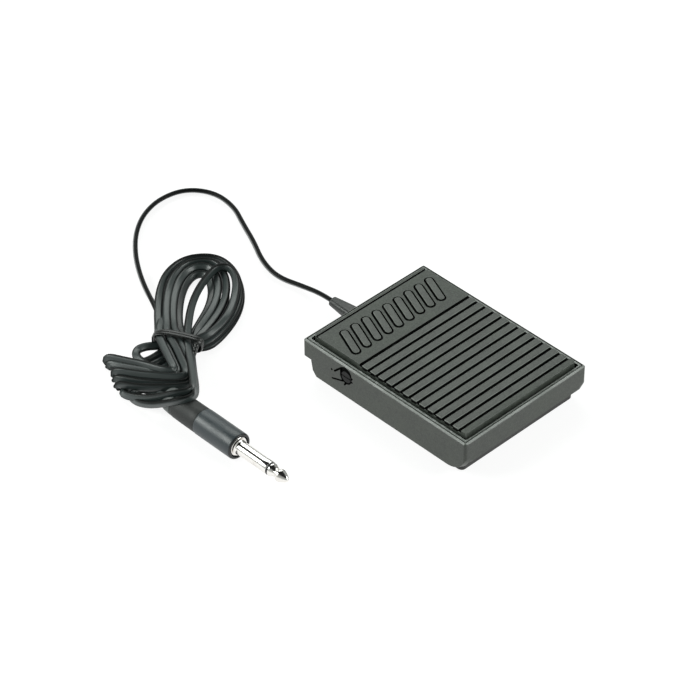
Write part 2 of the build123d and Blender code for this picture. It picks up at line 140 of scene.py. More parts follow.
def round_edges(piece, width, segments=3, angle=30):
    """Bevel the sharp edges; the weighted normals then keep the large faces flat."""
    piece.data.shade_smooth()
    bevel = piece.modifiers.new("edges", "BEVEL")
    bevel.width = width
    bevel.segments = segments
    bevel.limit_method = "ANGLE"
    bevel.angle_limit = math.radians(angle)
    bevel.miter_outer = "MITER_ARC"
    bevel.use_clamp_overlap = True
    weighted = piece.modifiers.new("flat_faces", "WEIGHTED_NORMAL")
    weighted.mode = "FACE_AREA"
    weighted.weight = 80
    settle(piece)
    return piece


def smooth_by_angle(piece, angle=38):
    piece.data.shade_smooth()
    piece.data.set_sharp_from_angle(angle=math.radians(angle))


def soft_edged_copy(node_name, piece_name, width, segments=2, angle=32):
    """A CAD node's own shape with its hard edges rounded off, as a moulding's are."""
    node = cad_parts[node_name]
    piece = bpy.data.objects.new(piece_name, node.data.copy())
    piece.data.materials.clear()
    scene.collection.objects.link(piece)
    work = bmesh.new()
    work.from_mesh(piece.data)
    bmesh.ops.remove_doubles(work, verts=work.verts, dist=2e-6)
    flat = [edge for edge in work.edges if edge.is_manifold and edge.calc_face_angle() < 0.004]
    bmesh.ops.dissolve_edges(work, edges=flat, use_verts=False)
    straight = [
        vert for vert in work.verts
        if len(vert.link_edges) == 2
        and (vert.link_edges[0].other_vert(vert).co - vert.co).angle(
            vert.co - vert.link_edges[1].other_vert(vert).co, 1.0) < 0.004
    ]
    bmesh.ops.dissolve_verts(work, verts=straight)
    bmesh.ops.recalc_face_normals(work, faces=work.faces)
    if "custom_normal" in piece.data.attributes:
        piece.data.attributes.remove(piece.data.attributes["custom_normal"])
    work.to_mesh(piece.data)
    work.free()
    round_edges(piece, width, segments, angle)
    print(piece_name, "has", len(piece.data.polygons), "faces")
    return piece


# %% Material helpers
def start_material(name):
    """A material, its Principled shader and its node tree."""
    material = bpy.data.materials.new(name)
    material.use_nodes = True
    tree = material.node_tree
    shader = next(node for node in tree.nodes if node.type == "BSDF_PRINCIPLED")
    return material, shader, tree


def feed(tree, node, inputs):
    """Give each named input of a node a value, or a link where the value is a socket."""
    for key, value in inputs.items():
        if isinstance(value, bpy.types.NodeSocket):
            tree.links.new(value, node.inputs[key])
        else:
            node.inputs[key].default_value = value


def add_node(tree, kind, inputs=None, **settings):
    """A new node with its settings, then its inputs."""
    node = tree.nodes.new(kind)
    for key, value in settings.items():
        setattr(node, key, value)
    feed(tree, node, inputs or {})
    return node


def coordinates(tree, kind="Object"):
    return add_node(tree, "ShaderNodeTexCoord").outputs[kind]


def calculate(tree, operation, *values):
    """The result of a maths node; each value is a number or a socket."""
    return add_node(tree, "ShaderNodeMath", dict(enumerate(values)), operation=operation).outputs[0]


def dress(piece, material):
    """Put one material on every face of a piece, or in every slot of a CAD node."""
    if piece.data.materials:
        for place in range(len(piece.data.materials)):
            piece.data.materials[place] = material
    else:
        piece.data.materials.append(material)
        piece.data.polygons.foreach_set("material_index", [0] * len(piece.data.polygons))


# %% [markdown]
# ## Four shader groups that the finishes share
#
# Plastic and rubber parts are never one even colour: the mould leaves a fine grain, and hands leave
# faint cloudy marks that change how sharply they shine. Rounded edges are also painted paler, a
# painted highlight where they would catch the light. These could be images, but noise computed from
# the piece's own coordinates needs no picture and has no seams. One group gives the grain's height
# and tone, one a soft mask of cloudy marks, one a mask of rounded edges for the painted highlight,
# and one a mask that rises between two heights. Each material mixes them in its own way.

# %% Shader groups
def new_group(name, inputs, outputs):
    """A shader group, the sockets that it is given, and the node that it puts out by."""
    group = bpy.data.node_groups.new(name, "ShaderNodeTree")
    for label, value in inputs:
        socket = group.interface.new_socket(label, in_out="INPUT", socket_type="NodeSocketFloat")
        socket.default_value = value
    for label in outputs:
        group.interface.new_socket(label, in_out="OUTPUT", socket_type="NodeSocketFloat")
    return group, group.nodes.new("NodeGroupInput").outputs, group.nodes.new("NodeGroupOutput")


def eased(tree, value, given):
    """A value eased to 0 at the group's Low and to 1 at its High."""
    return add_node(tree, "ShaderNodeMapRange", {
        "Value": value, "From Min": given["Low"], "From Max": given["High"],
    }, interpolation_type="SMOOTHSTEP").outputs["Result"]


# Grain: fine noise with pits in it
mould_grain, given, put_out = new_group("mould_grain", [("Scale", 2600.0), ("Detail", 4.0)], ["Height", "Tone"])
pit_share, tone_low, tone_high = 0.6, 0.36, 0.64
here = coordinates(mould_grain)
fine = add_node(mould_grain, "ShaderNodeTexNoise", {
    "Vector": here, "Scale": given["Scale"], "Detail": given["Detail"],
}, noise_dimensions="3D").outputs["Fac"]
pits = add_node(mould_grain, "ShaderNodeTexVoronoi", {
    "Vector": here, "Scale": given["Scale"],
}, feature="F1", distance="EUCLIDEAN").outputs["Distance"]
tone = add_node(mould_grain, "ShaderNodeMapRange", {"Value": fine, "From Min": tone_low, "From Max": tone_high})
feed(mould_grain, put_out, {
    "Height": calculate(mould_grain, "MULTIPLY_ADD", pits, pit_share, fine), "Tone": tone.outputs["Result"],
})

# Cloudy marks: large soft noise
cloudy_marks, given, put_out = new_group("cloudy_marks", [("Scale", 60.0), ("Low", 0.35), ("High", 0.7)], ["Mask"])
clouds = add_node(cloudy_marks, "ShaderNodeTexNoise", {
    "Vector": coordinates(cloudy_marks), "Scale": given["Scale"], "Detail": 6.0, "Roughness": 0.62,
}, noise_dimensions="3D").outputs["Fac"]
feed(cloudy_marks, put_out, {"Mask": eased(cloudy_marks, clouds, given)})

# Painted edge highlight: on a rounded edge, no part of the normal lies along one axis alone
painted_edge_highlight, given, put_out = new_group("painted_edge_highlight", [("Low", 0.03), ("High", 0.22)], ["Mask"])
normal = coordinates(painted_edge_highlight, "Normal")
size = add_node(painted_edge_highlight, "ShaderNodeVectorMath", {0: normal}, operation="ABSOLUTE").outputs[0]
parts = add_node(painted_edge_highlight, "ShaderNodeSeparateXYZ", {0: size}).outputs
largest = calculate(painted_edge_highlight, "MAXIMUM", calculate(painted_edge_highlight, "MAXIMUM", parts["X"], parts["Y"]), parts["Z"])
off_axis = calculate(painted_edge_highlight, "SUBTRACT", 1.0, largest)
feed(painted_edge_highlight, put_out, {"Mask": eased(painted_edge_highlight, off_axis, given)})

# Height: from 0 to 1 between two heights of the piece
height_mask, given, put_out = new_group("height_mask", [("Low", 0.0), ("High", 1.0)], ["Mask"])
height = add_node(height_mask, "ShaderNodeSeparateXYZ", {0: coordinates(height_mask)}).outputs["Z"]
feed(height_mask, put_out, {"Mask": eased(height_mask, height, given)})
print("shader groups", len(bpy.data.node_groups))

# %% [markdown]
# ## Finishes
#
# Most of the pedal is dark plastic or rubber: the lid's satin moulding, the mat's duller rubber, the
# lead's soft jacket and the plug's smooth barrel. They differ in shine and in grain more than in
# colour. One function builds them all from the groups, so that each finish is a few values.

# %% Moulded finishes
# Black for painted shade, deep in grooves and hollows.
painted_shade_black = (0.0012, 0.0013, 0.0012)
grain_height = 0.06 * mm


def mix_colour(tree, share, under, over):
    """The colour from under, where share is 0, to over, where it is 1."""
    return add_node(tree, "ShaderNodeMix", {
        "Factor": share, "A": under, "B": over,
    }, data_type="RGBA").outputs["Result"]


def rising(tree, low_and_high):
    """A mask from 0 to 1 between two heights."""
    low, high = low_and_high
    return add_node(tree, "ShaderNodeGroup", {"Low": low, "High": high}, node_tree=height_mask).outputs["Mask"]


def roughness_from(tree, marks, shine, change):
    """A roughness that goes from shine to shine plus change as the marks do."""
    return add_node(tree, "ShaderNodeMapRange", {
        "Value": marks, "To Min": shine, "To Max": shine + change,
    }).outputs["Result"]


def relief_from(tree, height, strength, distance):
    return add_node(tree, "ShaderNodeBump", {
        "Strength": strength, "Distance": distance, "Height": height,
    }).outputs["Normal"]


def moulded_finish(name, dark, light, shine, grain, grain_size, marks_size, shine_change=0.12, specular=0.5,
                   edge=None, highlight_above=None, painted_shade_below=None, lit_crown=None):
    """A plastic or rubber: colours dark and light mixed by cloudy marks, with a fine grain in relief.

    Its rounded edges may take a paler colour, a painted highlight, which two further heights can
    keep to the top of the piece. Two other heights can make the colour rise from black, a painted
    shade deep in grooves and hollows. A crown colour paints a lead's flat sides paler, with a coat,
    as a painted highlight, and leaves its narrow edges dark, as painted shade.
    """
    material, shader, tree = start_material(name)
    marks = add_node(tree, "ShaderNodeGroup", {"Scale": marks_size}, node_tree=cloudy_marks).outputs["Mask"]
    fine = add_node(tree, "ShaderNodeGroup", {"Scale": grain_size}, node_tree=mould_grain).outputs
    half_tone = calculate(tree, "MULTIPLY", fine["Tone"], 0.5)
    colour = mix_colour(tree, calculate(tree, "MULTIPLY_ADD", marks, 0.5, half_tone), (*dark, 1), (*light, 1))
    # Painted highlight: rounded edges are mixed towards a paler colour, as if they caught the light.
    if edge:
        highlight_share = add_node(tree, "ShaderNodeGroup", node_tree=painted_edge_highlight).outputs["Mask"]
        if highlight_above:
            highlight_share = calculate(tree, "MULTIPLY", highlight_share, rising(tree, highlight_above))
        colour = mix_colour(tree, highlight_share, colour, (*edge, 1))
    # Painted highlight and shade: a lead's flat sides are made paler and coated, its narrow edges stay dark.
    if lit_crown:
        flatness = add_node(tree, "ShaderNodeAttribute", attribute_name="lit_crown", attribute_type="GEOMETRY")
        flatness = flatness.outputs["Fac"]
        colour = mix_colour(tree, flatness, colour, (*lit_crown, 1))
        feed(tree, shader, {"Coat Weight": flatness, "Coat Roughness": 0.36})
    # Painted shade: the colour sinks to black below the given heights, deep in grooves and hollows, and the coat
    # goes with the lit part.
    if painted_shade_below:
        lit = rising(tree, painted_shade_below)
        colour = mix_colour(tree, lit, (*painted_shade_black, 1), colour)
        feed(tree, shader, {"Coat Weight": lit, "Coat Roughness": 0.5})
    feed(tree, shader, {
        "Base Color": colour, "Roughness": roughness_from(tree, marks, shine, shine_change),
        "Normal": relief_from(tree, fine["Height"], grain, grain_height), "Specular IOR Level": specular,
    })
    return material


mat_low, mat_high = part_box("tread_mat")
grip_rise = 0.5 * mm
mat_top = mat_high.z - grip_rise
lid_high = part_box("treadle_lid")[1]
rim_top = lid_high.z
# The paler edge colours of the lid and the mat are a painted highlight on rounded edges; on the lid it is kept to
# the rim's top.
lid_plastic = moulded_finish(
    "lid_plastic", (0.012, 0.017, 0.012), (0.042, 0.050, 0.039), 0.34, 0.60, 1500, 55,
    edge=(0.125, 0.14, 0.125), highlight_above=(rim_top - 0.75 * mm, rim_top - 0.45 * mm))
# A paler, shinier copy of the lid's plastic for the top of the rim's bead: a painted highlight.
rim_painted_highlight = moulded_finish("rim_painted_highlight", (0.105, 0.117, 0.106), (0.17, 0.19, 0.172), 0.22, 0.25, 3200, 55)
mat_rubber = moulded_finish(
    "mat_rubber", (0.020, 0.026, 0.020), (0.070, 0.081, 0.068), 0.50, 0.9, 1500, 75,
    edge=(0.14, 0.155, 0.14))
# The ribs and bars sink to black towards the groove floors and hollows, a painted shade, and their edges take a
# bright painted highlight.
rib_rubber = moulded_finish(
    "rib_rubber", (0.014, 0.018, 0.014), (0.056, 0.066, 0.054), 0.50, 0.9, 1500, 75, specular=0.1,
    edge=(0.22, 0.245, 0.22), painted_shade_below=(mat_top - 0.75 * mm, mat_top - 0.25 * mm))
bar_rubber = moulded_finish(
    "bar_rubber", (0.016, 0.021, 0.016), (0.060, 0.070, 0.058), 0.50, 0.9, 1500, 75, specular=0.1,
    edge=(0.17, 0.19, 0.17), painted_shade_below=(mat_top - 0.1 * mm, mat_top + 0.3 * mm))
# Near-black dull rubber: painted shade on groove floors, in hollows and slits, and in the gap round the mat.
groove_painted_shade = moulded_finish(
    "groove_painted_shade", (0.0010, 0.0012, 0.0010), (0.002, 0.0022, 0.002), 0.85, 0.5, 2000, 75, specular=0.1)
tray_plastic = moulded_finish(
    "tray_plastic", (0.006, 0.0072, 0.006), (0.012, 0.0135, 0.012), 0.42, 0.45, 3200, 60)
sole_rubber = moulded_finish(
    "sole_rubber", (0.010, 0.010, 0.010), (0.022, 0.022, 0.021), 0.75, 0.8, 1800, 90, specular=0.3)
# The pin's own dark plastic, made near black as painted shade in the hinge recess.
pin_plastic = moulded_finish(
    "pin_plastic", (0.003, 0.0032, 0.003), (0.007, 0.0075, 0.007), 0.5, 0.3, 3600, 80, specular=0.25)
# The lead's narrow edges are near black, a painted shade between the turns, and its flat sides are painted paler
# with a coat, a painted highlight.
jacket_plastic = moulded_finish(
    "jacket_plastic", (0.0012, 0.0016, 0.0014), (0.003, 0.0038, 0.0036), 0.40, 0.25, 3600, 70, specular=0.1,
    lit_crown=(0.027, 0.037, 0.036))
sleeve_plastic = moulded_finish(
    "sleeve_plastic", (0.009, 0.011, 0.010), (0.020, 0.024, 0.022), 0.34, 0.25, 3600, 70)
tie_plastic = moulded_finish("tie_plastic", (0.004, 0.005, 0.0045), (0.010, 0.012, 0.011), 0.24, 0.3, 3000, 120)
boot_rubber = moulded_finish("boot_rubber", (0.006, 0.0072, 0.0065), (0.014, 0.017, 0.016), 0.50, 0.5, 2600, 80)
cap_rubber = moulded_finish("cap_rubber", (0.050, 0.058, 0.056), (0.085, 0.096, 0.092), 0.45, 0.3, 2800, 80)
barrel_plastic = moulded_finish(
    "barrel_plastic", (0.008, 0.016, 0.020), (0.017, 0.028, 0.034), 0.36, 0.2, 3600, 45, specular=0.7)
ring_plastic = moulded_finish("ring_plastic", (0.004, 0.004, 0.0045), (0.009, 0.009, 0.010), 0.30, 0.2, 3600, 90)
wire_red = moulded_finish("wire_red", (0.35, 0.015, 0.010), (0.52, 0.03, 0.02), 0.35, 0.1, 3600, 150)
wire_white = moulded_finish("wire_white", (0.55, 0.55, 0.52), (0.75, 0.74, 0.71), 0.35, 0.1, 3600, 150)

# %% [markdown]
# Metal parts need their own recipe: the colour comes from the reflection itself, and the wear shows
# as changes in how sharp that reflection is. The plug is bright nickel with fine lines from turning,
# the screws and the spring are duller zinc, and the switch leaves are sprung brass.

# %% Metal finishes
def metal_finish(name, colour, worn_colour, shine, line_scale, line_strength, marks_size=120.0):
    """A plated metal with fine lines round the Y axis, as turning leaves them."""
    material, shader, tree = start_material(name)
    marks = add_node(tree, "ShaderNodeGroup", {
        "Scale": marks_size, "Low": 0.45, "High": 0.8,
    }, node_tree=cloudy_marks).outputs["Mask"]
    stretch = add_node(tree, "ShaderNodeMapping", {"Vector": coordinates(tree), "Scale": (1.0, line_scale, 1.0)})
    turned = add_node(tree, "ShaderNodeTexNoise", {
        "Vector": stretch.outputs["Vector"], "Scale": 90.0, "Detail": 3.0,
    }, noise_dimensions="3D")
    feed(tree, shader, {
        "Metallic": 1.0, "Base Color": mix_colour(tree, marks, (*colour, 1), (*worn_colour, 1)),
        "Roughness": roughness_from(tree, marks, shine, 0.14),
        "Normal": relief_from(tree, turned.outputs["Fac"], line_strength, 0.03 * mm),
    })
    return material


plug_nickel = metal_finish("plug_nickel", (0.88, 0.86, 0.83), (0.70, 0.66, 0.61), 0.13, 60.0, 0.25)
zinc_steel = metal_finish("zinc_steel", (0.56, 0.57, 0.59), (0.40, 0.40, 0.41), 0.28, 20.0, 0.35)
leaf_brass = metal_finish("leaf_brass", (0.80, 0.60, 0.28), (0.62, 0.44, 0.20), 0.25, 25.0, 0.35)
print("finishes", len(bpy.data.materials))

# %% [markdown]
# ## The lead's route
#
# The lead is flat, 3.8 by 2.3 mm, about two metres long. It leaves the strain relief, snakes over
# the floor to the rear and left, and comes back into a hank that a twist tie holds in its middle.
# It could be drawn point by point, but the hank is seven turns of one loop, so only the loop's
# edges are given: an inner and an outer rail for the long upper loops, and five rails,
# side by side, for the short lower loops that fold sharply under the tie. A loop in the script
# then lays each turn between the rails, with its own place and height, as loose turns have.

# %% The loose part of the route, in millimetres
lead_route = [
    (1.0, 70.0, 6.6), (3.0, 79.0, 4.4), (2.6, 91.0, 2.2), (-0.9, 104.0, 2.0), (2.2, 117.5, 2.0),
    (9.2, 130.6, 2.0), (14.6, 143.4, 2.0), (20.8, 156.6, 2.0), (21.6, 171.0, 2.0), (13.6, 182.4, 2.0),
    (0.2, 185.2, 2.0), (-13.0, 181.6, 2.0), (-25.0, 173.4, 2.0), (-35.2, 162.2, 2.0), (-43.6, 149.6, 2.0),
    (-50.6, 136.0, 2.2), (-55.6, 123.4, 3.0), (-60.0, 115.6, 4.2),
]

# %% Rails of the upper loops, from the tie up the right, over the top and down the left
inner_rail = [
    (-54.5, 101.0), (-47.5, 104.6), (-39.0, 108.9), (-31.4, 114.6), (-25.6, 121.6), (-22.6, 128.4),
    (-26.4, 131.2), (-33.4, 129.2), (-41.2, 124.0), (-50.0, 115.8), (-58.2, 105.8),
]
outer_rail = [
    (-58.0, 89.6), (-47.1, 90.8), (-32.0, 96.6), (-20.4, 106.0), (-12.2, 119.0), (-11.2, 132.6),
    (-22.6, 141.6), (-35.8, 139.6), (-47.0, 131.9), (-57.2, 121.6), (-66.6, 110.4),
]
crossing_rail = [
    (-57.0, 91.2), (-47.0, 92.6), (-37.6, 95.8), (-28.0, 102.4), (-19.6, 110.6), (-15.6, 119.2),
    (-19.4, 123.6), (-27.0, 121.8), (-36.4, 117.8), (-46.4, 111.4), (-56.2, 102.6),
]

# %% Rails of the lower loops: out of the tie, round the knee, out to the tip and back under
lower_rails = [
    [(-70.2, 106.7, 7.2), (-74.2, 98.8, 7.8), (-78.6, 89.4, 8.0), (-81.8, 82.4, 8.0), (-84.6, 84.4, 7.9),
     (-86.4, 89.6, 7.4), (-88.6, 97.6, 6.4), (-91.6, 105.0, 5.6), (-94.6, 112.6, 5.0), (-95.0, 113.4, 1.4),
     (-90.4, 107.6, 1.4), (-85.6, 102.6, 1.5), (-78.6, 100.6, 1.6), (-68.0, 101.5, 2.2)],
    [(-67.1, 104.1, 7.4), (-70.2, 95.2, 7.6), (-74.6, 86.2, 7.8), (-79.2, 77.0, 7.8), (-82.8, 77.4, 7.7),
     (-86.2, 81.4, 7.4), (-90.2, 87.4, 6.8), (-94.0, 94.2, 5.8), (-98.2, 103.2, 5.0), (-98.6, 104.0, 1.4),
     (-92.4, 101.6, 1.4), (-86.0, 98.6, 1.4), (-77.6, 97.0, 1.5), (-67.0, 97.0, 2.0)],
    [(-63.9, 100.7, 7.4), (-68.4, 93.6, 7.3), (-73.4, 83.6, 7.4), (-79.6, 71.8, 7.6), (-84.2, 70.9, 7.6),
     (-89.6, 75.2, 7.2), (-94.6, 81.6, 6.2), (-98.6, 87.6, 5.2), (-102.6, 95.8, 4.4), (-102.8, 97.4, 1.3),
     (-96.6, 96.6, 1.3), (-89.0, 93.4, 1.3), (-79.6, 92.6, 1.4), (-66.6, 93.6, 1.8)],
    [(-63.0, 95.6, 7.4), (-68.7, 88.6, 7.4), (-75.8, 78.2, 8.8), (-85.9, 65.5, 11.6), (-90.4, 62.6, 13.3),
     (-95.4, 65.8, 13.0), (-98.6, 71.8, 9.6), (-101.4, 78.8, 5.6), (-104.4, 88.0, 3.2), (-103.4, 93.4, 1.7),
     (-97.8, 92.8, 1.3), (-90.0, 89.4, 1.3), (-80.0, 88.0, 1.3), (-66.0, 90.6, 1.6)],
    [(-63.4, 93.6, 5.2), (-68.9, 86.4, 6.4), (-76.6, 76.8, 8.4), (-87.8, 62.0, 11.6), (-93.2, 58.6, 13.5),
     (-98.2, 61.8, 12.8), (-100.2, 68.2, 8.8), (-102.4, 75.6, 4.6), (-103.8, 83.0, 2.4), (-102.2, 89.0, 1.5),
     (-96.6, 89.4, 1.3), (-89.0, 86.4, 1.3), (-80.0, 86.0, 1.3), (-66.0, 89.0, 1.6)],
]
short_turn = [
    (-66.0, 111.0, 5.2), (-70.0, 104.6, 5.6), (-73.4, 97.4, 5.8), (-77.4, 89.6, 5.8), (-80.6, 85.4, 5.6),
    (-83.6, 86.8, 5.4), (-85.2, 92.0, 5.0), (-86.0, 98.4, 4.8), (-85.4, 104.4, 4.6), (-81.8, 107.8, 4.4),
    (-77.0, 107.0, 4.0), (-72.6, 104.2, 3.4), (-66.0, 101.5, 2.4),
]
into_plug = [(-95.6, 89.6, 1.5), (-93.8, 84.0, 2.2), (-94.2, 78.4, 4.2), (-94.6, 73.0, 6.3)]

# %% Each turn's place between the rails, from 0, inner, to 1, outer, and which lower rail it takes
turn_parts = ("right", "top", "left", "lower", "heights", "drop", "crosses")
hank_turns = [dict(zip(turn_parts, values)) for values in (
    (1.00, 1.00, 0.80, 0.3, (1.5, 1.5, 1.5), 1.4, False),
    (0.50, 0.45, 0.30, 1.4, (1.5, 1.5, 1.5), 1.4, False),
    (0.02, 0.02, 0.02, 4.0, (2.0, 2.2, 2.4), 0.0, False),
    (0.20, 0.30, 0.28, 2.0, (3.8, 4.2, 4.6), 0.0, False),
    (0.48, 0.62, 0.60, 1.0, (4.2, 4.6, 5.0), 0.0, False),
    (0.96, 0.92, 1.00, 0.0, (4.0, 4.4, 4.4), 0.0, False),
    (0.75, 0.75, -0.2, 3.0, (6.2, 7.4, 6.6), 0.0, True),
)]
lying_stations, lowest_centre = 9, 1.3


def between(one, other, share):
    return tuple(a + (b - a) * share for a, b in zip(one, other))


def upper_loop(turn):
    points = []
    last = len(inner_rail) - 1
    for place, (inner, outer) in enumerate(zip(inner_rail, outer_rail)):
        along = place / last
        if along < 0.5:
            share = turn["right"] + (turn["top"] - turn["right"]) * max(0, (along - 0.25) / 0.25)
            height = turn["heights"][0] + (turn["heights"][1] - turn["heights"][0]) * along / 0.5
        else:
            share = turn["top"] + (turn["left"] - turn["top"]) * min(1, (along - 0.5) / 0.25)
            height = turn["heights"][1] + (turn["heights"][2] - turn["heights"][1]) * (along - 0.5) / 0.5
        x, y = crossing_rail[place] if turn["crosses"] else between(inner, outer, share)
        points.append((x, y, height))
    return points


def lower_loop(turn):
    rail = min(int(turn["lower"]), len(lower_rails) - 2)
    share = turn["lower"] - rail
    points = []
    for place, (one, other) in enumerate(zip(lower_rails[rail], lower_rails[rail + 1])):
        x, y, z = between(one, other, share)
        points.append((x, y, max(z - turn["drop"], lowest_centre) if place < lying_stations else z))
    return points


route = lead_route + short_turn
for turn in hank_turns:
    route = route + upper_loop(turn) + lower_loop(turn)
route = route[:-3] + into_plug
print("route points", len(route))

# %% [markdown]
# ## From route to centreline
#
# The route's points become the control points of one NURBS curve, which bends smoothly past them as
# a springy lead does. Its order and its end rule are set after its points, because Blender clips the
# order to the points it has. The curve is evaluated without any thickness, and its points are read
# back so that the flat section can follow them.

# %% Centreline
line_data = bpy.data.curves.new("lead_line", "CURVE")
line_data.dimensions = "3D"
line_data.resolution_u = 18
line = line_data.splines.new("NURBS")
line.points.add(len(route) - 1)
for point, (x, y, z) in zip(line.points, route):
    point.co = (x * mm, y * mm, z * mm, 1)
line.order_u = 3
line.use_endpoint_u = True
line_object = bpy.data.objects.new("lead_line", line_data)
scene.collection.objects.link(line_object)
line_mesh = bpy.data.meshes.new_from_object(line_object.evaluated_get(bpy.context.evaluated_depsgraph_get()))
raw_line = [vert.co.copy() for vert in line_mesh.vertices]
bpy.data.objects.remove(line_object)


def even_steps(points, step):
    """The same line with its points one step apart."""
    result = [points[0].copy()]
    walked = 0.0
    for one, other in zip(points, points[1:]):
        run = (other - one).length
        while run > 0 and walked + run >= step:
            share = (step - walked) / run
            one = one.lerp(other, share)
            result.append(one.copy())
            run = (other - one).length
            walked = 0.0
        walked += run
    result.append(points[-1].copy())
    return result


centreline = even_steps(raw_line, 0.85 * mm)

# %% [markdown]
# ## The flat lead
#
# The jacket is two cores side by side: a flat oval with a faint waist. A bevelled curve could carry
# that section, but a flat lead also rolls as it lies: it stands nearly on its edge where it is loose
# and lies back in the hank, a little differently in every turn. So the section is swept by hand:
# at each point it is placed across the line and rolled by a slow wave of the length walked.

# %% Sweep the section
def squared_off(value, power):
    """A sine or cosine with its sign kept, raised to a power below 1 to fill out an oval's corners."""
    return math.copysign(abs(value) ** power, value)


jacket_width, jacket_thick = 3.8 * mm, 2.3 * mm
lean = Vector((-0.534, -0.553, 0.640))
around = 20
loose_length, settling_length = 205, 30
flat_edge, flat_fade = 0.90, 0.40


def jacket_section():
    """Points of the flat oval, with the faint waist between its two cores."""
    points = []
    for step in range(around):
        angle = 2 * math.pi * step / around
        across, through = squared_off(math.cos(angle), 0.86), squared_off(math.sin(angle), 0.80)
        waist = 1 - 0.16 * math.exp(-(across / 0.22) ** 2)
        points.append((across * jacket_width / 2, through * jacket_thick / 2 * waist))
    return points


def roll_at(walked):
    """How far the flat side is rolled out of view, in radians, by the length walked in mm."""
    loose = math.radians(90 - 14 * math.sin(walked / 38.0))
    wound = math.radians(18 + 20 * math.sin(walked / 47.0) + 10 * math.sin(walked / 19.0 + 1))
    share = min(1, max(0, (walked - loose_length) / settling_length))
    share = share * share * (3 - 2 * share)
    return loose + (wound - loose) * share


def sweep_lead(name, points, section, floor_gap):
    verts, walked = [], 0.0
    for place, here in enumerate(points):
        before = points[max(place - 1, 0)]
        after = points[min(place + 1, len(points) - 1)]
        walked += (here - before).length / mm
        along = (after - before).normalized()
        facing = (lean - along * along.dot(lean)).normalized()
        side = along.cross(facing)
        roll = roll_at(walked)
        wide = side * math.cos(roll) + facing * math.sin(roll)
        thin = along.cross(wide)
        for across, through in section:
            vert = here + wide * across + thin * through
            vert.z = max(vert.z, floor_gap)
            verts.append(vert)
    piece = link_mesh(name, verts, ring_faces(len(points), len(section)))
    # A mask of 1 on the flat sides that fades to 0 at the narrow edges, for the painted highlight and shade of the
    # jacket's finish.
    lit_crown = piece.data.attributes.new("lit_crown", "FLOAT", "POINT")
    half = jacket_width / 2
    flatness = [min(1.0, max(0.0, (flat_edge - abs(across) / half) / flat_fade)) for across, _ in section]
    lit_crown.data.foreach_set("value", flatness * len(points))
    point_outwards(piece)
    return piece


lead = sweep_lead("lead_flat", centreline, jacket_section(), 0.05 * mm)
dress(lead, jacket_plastic)
print("lead faces", len(lead.data.polygons))

# %% [markdown]
# ## The twist tie
#
# A strip of wire in black plastic goes twice round the hank's waist, and its ends are twisted
# together at the side. The wraps are a flattened spiral; the twist is two strips that wind round
# each other. Both are swept with a small flat section along points that a formula gives.

# %% Tie
tie_middle = Vector((-66.0, 98.0, 5.35)) * mm
tie_reach, tie_rise = 11.2 * mm, 4.55 * mm
tie_turn = math.radians(31.0)
tie_along = Vector((math.cos(tie_turn), math.sin(tie_turn), 0))
tie_across = Vector((-math.sin(tie_turn), math.cos(tie_turn), 0))


def sweep_strip(name, points, axis_start, axis, width, thick, around=12):
    """Sweep a strip along points, with its flat side turned away from an axis."""
    verts = []
    for place, here in enumerate(points):
        before, after = points[max(place - 1, 0)], points[min(place + 1, len(points) - 1)]
        along = (after - before).normalized()
        facing = here - (axis_start + axis * (here - axis_start).dot(axis))
        facing = (facing - along * along.dot(facing)).normalized()
        side = along.cross(facing)
        end_gap = min(place, len(points) - 1 - place)
        taper = min(1.0, 0.45 + 0.28 * end_gap)
        for step in range(around):
            angle = 2 * math.pi * step / around
            rib = 1 + 0.55 * math.exp(-(math.cos(angle) / 0.3) ** 2)
            verts.append(here + side * math.cos(angle) * width / 2 * taper
                         + facing * math.sin(angle) * thick / 2 * rib * taper)
    piece = link_mesh(name, verts, ring_faces(len(points), around))
    point_outwards(piece)
    return piece


def wrap_points(turns, count):
    points = []
    for step in range(count + 1):
        share = step / count
        angle = math.radians(-100) + 2 * math.pi * turns * share
        bulge = 1 + 0.03 * math.sin(3 * angle + 1)
        wide = squared_off(math.cos(angle), 0.72) * tie_reach * bulge
        high = squared_off(math.sin(angle), 0.72) * tie_rise
        drift = (-1.5 + 3.0 * share + 0.5 * math.sin(angle * 2)) * mm
        points.append(tie_middle + tie_across * wide + Vector((0, 0, high)) + tie_along * drift)
    return points


tie_wrap = sweep_strip("tie_wrap", wrap_points(2.0, 150), tie_middle, tie_along, 2.5 * mm, 0.7 * mm)
dress(tie_wrap, tie_plastic)

knot_start = Vector((-61.4, 90.4, 8.0)) * mm
knot_end = Vector((-70.6, 84.4, 5.4)) * mm
knot_axis = (knot_end - knot_start).normalized()
knot_side = knot_axis.cross(Vector((0, 0, 1))).normalized()
knot_up = knot_side.cross(knot_axis)
knot_turns, knot_steps = 3.2, 60
tie_ends = []
for end, phase in enumerate((0.0, math.pi)):
    points = []
    for step in range(knot_steps + 1):
        share = step / knot_steps
        angle = phase + share * 2 * math.pi * knot_turns
        reach = (1.05 - 0.35 * share + (0.9 * max(0, share - 0.85) / 0.15)) * mm
        here = knot_start.lerp(knot_end, share)
        points.append(here + knot_side * math.cos(angle) * reach + knot_up * math.sin(angle) * reach)
    strip = sweep_strip(f"tie_end_{end + 1}", points, knot_start, knot_axis, 1.9 * mm, 0.7 * mm, 10)
    dress(strip, tie_plastic)
    tie_ends.append(strip)
print("tie faces", len(tie_wrap.data.polygons) + sum(len(strip.data.polygons) for strip in tie_ends))

# %% [markdown]
# ## The plug
#
# Every part of the plug is turned or moulded round one axis, so each is a half profile spun round
# it: a soft cap and a boot that protect the lead, the screwed barrel, and the bright sleeve,
# insulating ring and tip that enter the socket. A lathe gives clean rings of faces, and its corners
# are rounded by extra points in the profile rather than left sharp.

# %% Lathe
plug_x, plug_z = -94.6 * mm, 6.3 * mm


